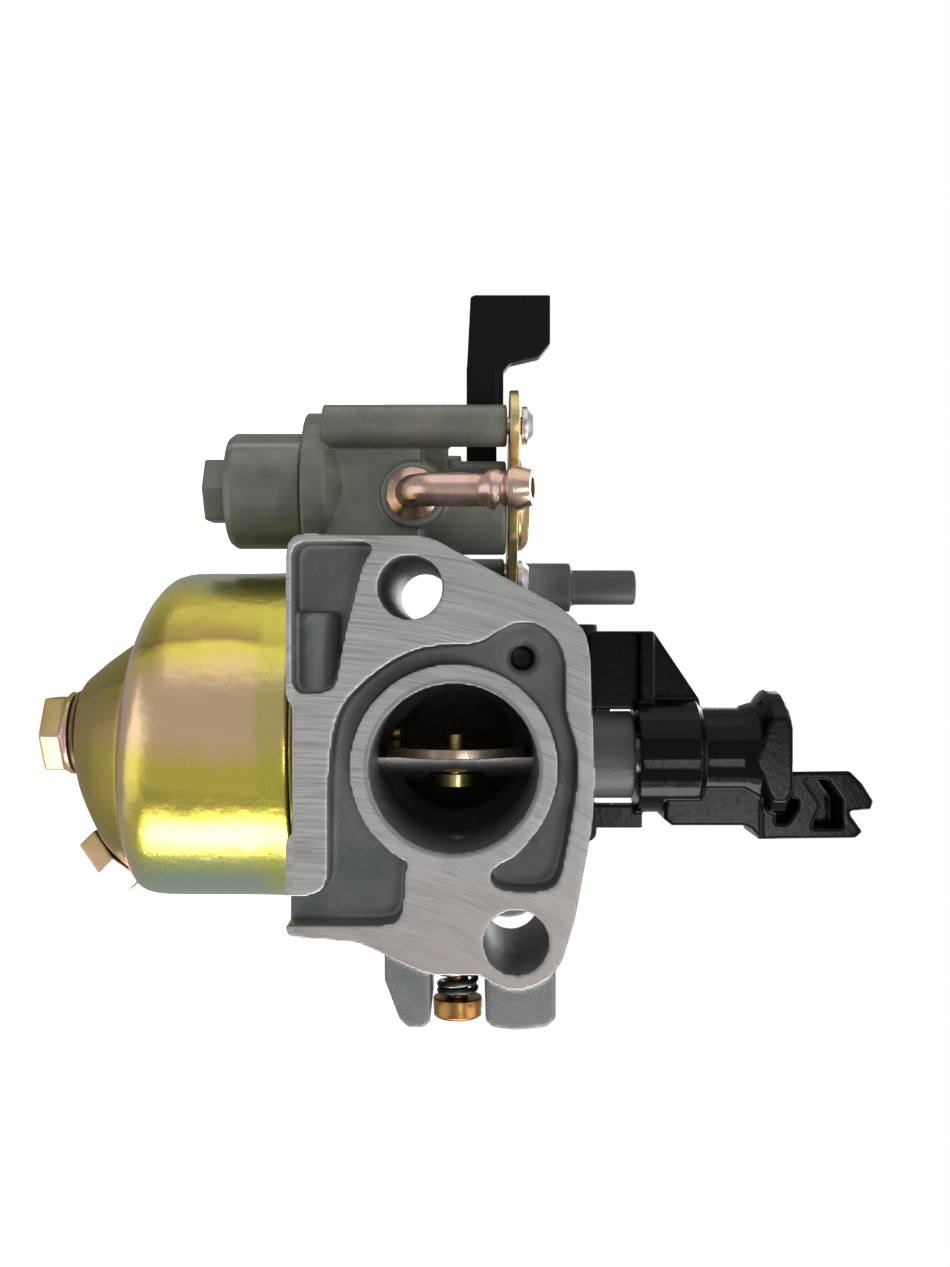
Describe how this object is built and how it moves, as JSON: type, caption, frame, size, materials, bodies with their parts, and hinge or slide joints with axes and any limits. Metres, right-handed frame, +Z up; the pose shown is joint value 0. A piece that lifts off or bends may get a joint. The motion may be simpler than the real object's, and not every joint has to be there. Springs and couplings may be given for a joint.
{
  "type": "float carburetor",
  "caption": "Small-engine float carburetor with butterfly throttle and choke, pressed bowl, fuel tap with sediment cup and a bent inlet pipe.",
  "frame": {"origin": "where the throttle bore's axis meets the engine flange's machined face", "axes": "+Z up, along the throttle shaft away from the bowl; +Y into the carburetor toward the air cleaner; +X toward the idle mixture screw"},
  "size_m": [0.0905, 0.0558, 0.1043],
  "materials": {
    "casting": "die-cast zinc alloy, grey, machined on the flange faces",
    "yellow_zinc": "pressed steel with yellow zinc plating",
    "pink_zinc": "turned steel with pink and yellow zinc plating",
    "steel": "plated steel",
    "spring": "dark spring wire",
    "brass": "turned brass",
    "plastic": "black moulded nylon",
    "matte_plastic": "black moulded plastic, matte",
    "float": "moulded float plastic",
    "rubber": "black fuel-proof rubber",
    "cup": "cast cup, grey"
  },
  "bodies": {
    "carburetor": {"carburetor_body": "casting", "main_nozzle": "brass", "main_jet": "brass", "pilot_jet": "plastic", "float_bowl": "yellow_zinc", "bowl_gasket": "rubber", "bowl_bolt": "pink_zinc", "bowl_bolt_washer": "pink_zinc", "drain_screw": "pink_zinc", "drain_screw_washer": "pink_zinc", "float_pin": "steel", "throttle_shaft_seal": "rubber", "idle_stop_spring": "spring", "pilot_screw_spring": "spring", "choke_shaft_seal": "rubber", "fuel_valve_seal": "rubber", "fuel_valve_wave_washer": "steel", "fuel_valve_plate": "yellow_zinc", "fuel_valve_screw_1": "steel", "fuel_valve_screw_2": "steel", "fuel_inlet_pipe": "pink_zinc", "sediment_cup": "cup", "sediment_cup_seal": "rubber", "fuel_strainer": "brass"},
    "throttle": {"throttle_shaft": "steel", "throttle_plate": "brass", "throttle_plate_screw": "yellow_zinc", "throttle_lever": "plastic"},
    "choke": {"choke_shaft": "steel", "choke_plate": "yellow_zinc", "choke_plate_rivet_1": "yellow_zinc", "choke_plate_rivet_2": "yellow_zinc", "choke_lever": "plastic"},
    "fuel_tap": {"fuel_valve_lever": "matte_plastic"},
    "float_body": {"float": "float"},
    "needle": {"float_needle": "brass"},
    "mixture_screw": {"pilot_screw": "brass"},
    "stop_screw": {"idle_stop_screw": "matte_plastic"}
  },
  "joints": [
    {"name": "throttle_turn", "type": "hinge", "parent": "carburetor", "child": "throttle", "pos_m": [0, 0.0175, 0], "axis": [0, 0, 1], "range_deg": [0, 80]},
    {"name": "choke_turn", "type": "hinge", "parent": "carburetor", "child": "choke", "pos_m": [0, 0.03625, 0], "axis": [0, 0, -1], "range_deg": [0, 75]},
    {"name": "fuel_tap_turn", "type": "hinge", "parent": "carburetor", "child": "fuel_tap", "pos_m": [-0.032, 0.025, 0], "axis": [0, 0, -1], "range_deg": [0, 90]},
    {"name": "float_swing", "type": "hinge", "parent": "carburetor", "child": "float_body", "pos_m": [-0.018, 0.025, -0.0236], "axis": [0, -1, 0], "range_deg": [0, 10]},
    {"name": "needle_lift", "type": "slide", "parent": "carburetor", "child": "needle", "axis": [0, 0, 1], "range_m": [0, 0.0011]},
    {"name": "mixture_screw_turn", "type": "hinge", "parent": "carburetor", "child": "mixture_screw", "pos_m": [0.02, 0.012, 0.0003], "axis": [1, 0, 0], "range_deg": [-540, 540]},
    {"name": "stop_screw_turn", "type": "hinge", "parent": "carburetor", "child": "stop_screw", "pos_m": [-0.01, 0.0254, 0.0155], "axis": [1, 0, 0], "range_deg": [-540, 540]}
  ],
  "couplings": [
    {"joint": "needle_lift", "follows": "float_swing", "m_per_rad": 0.006}
  ]
}
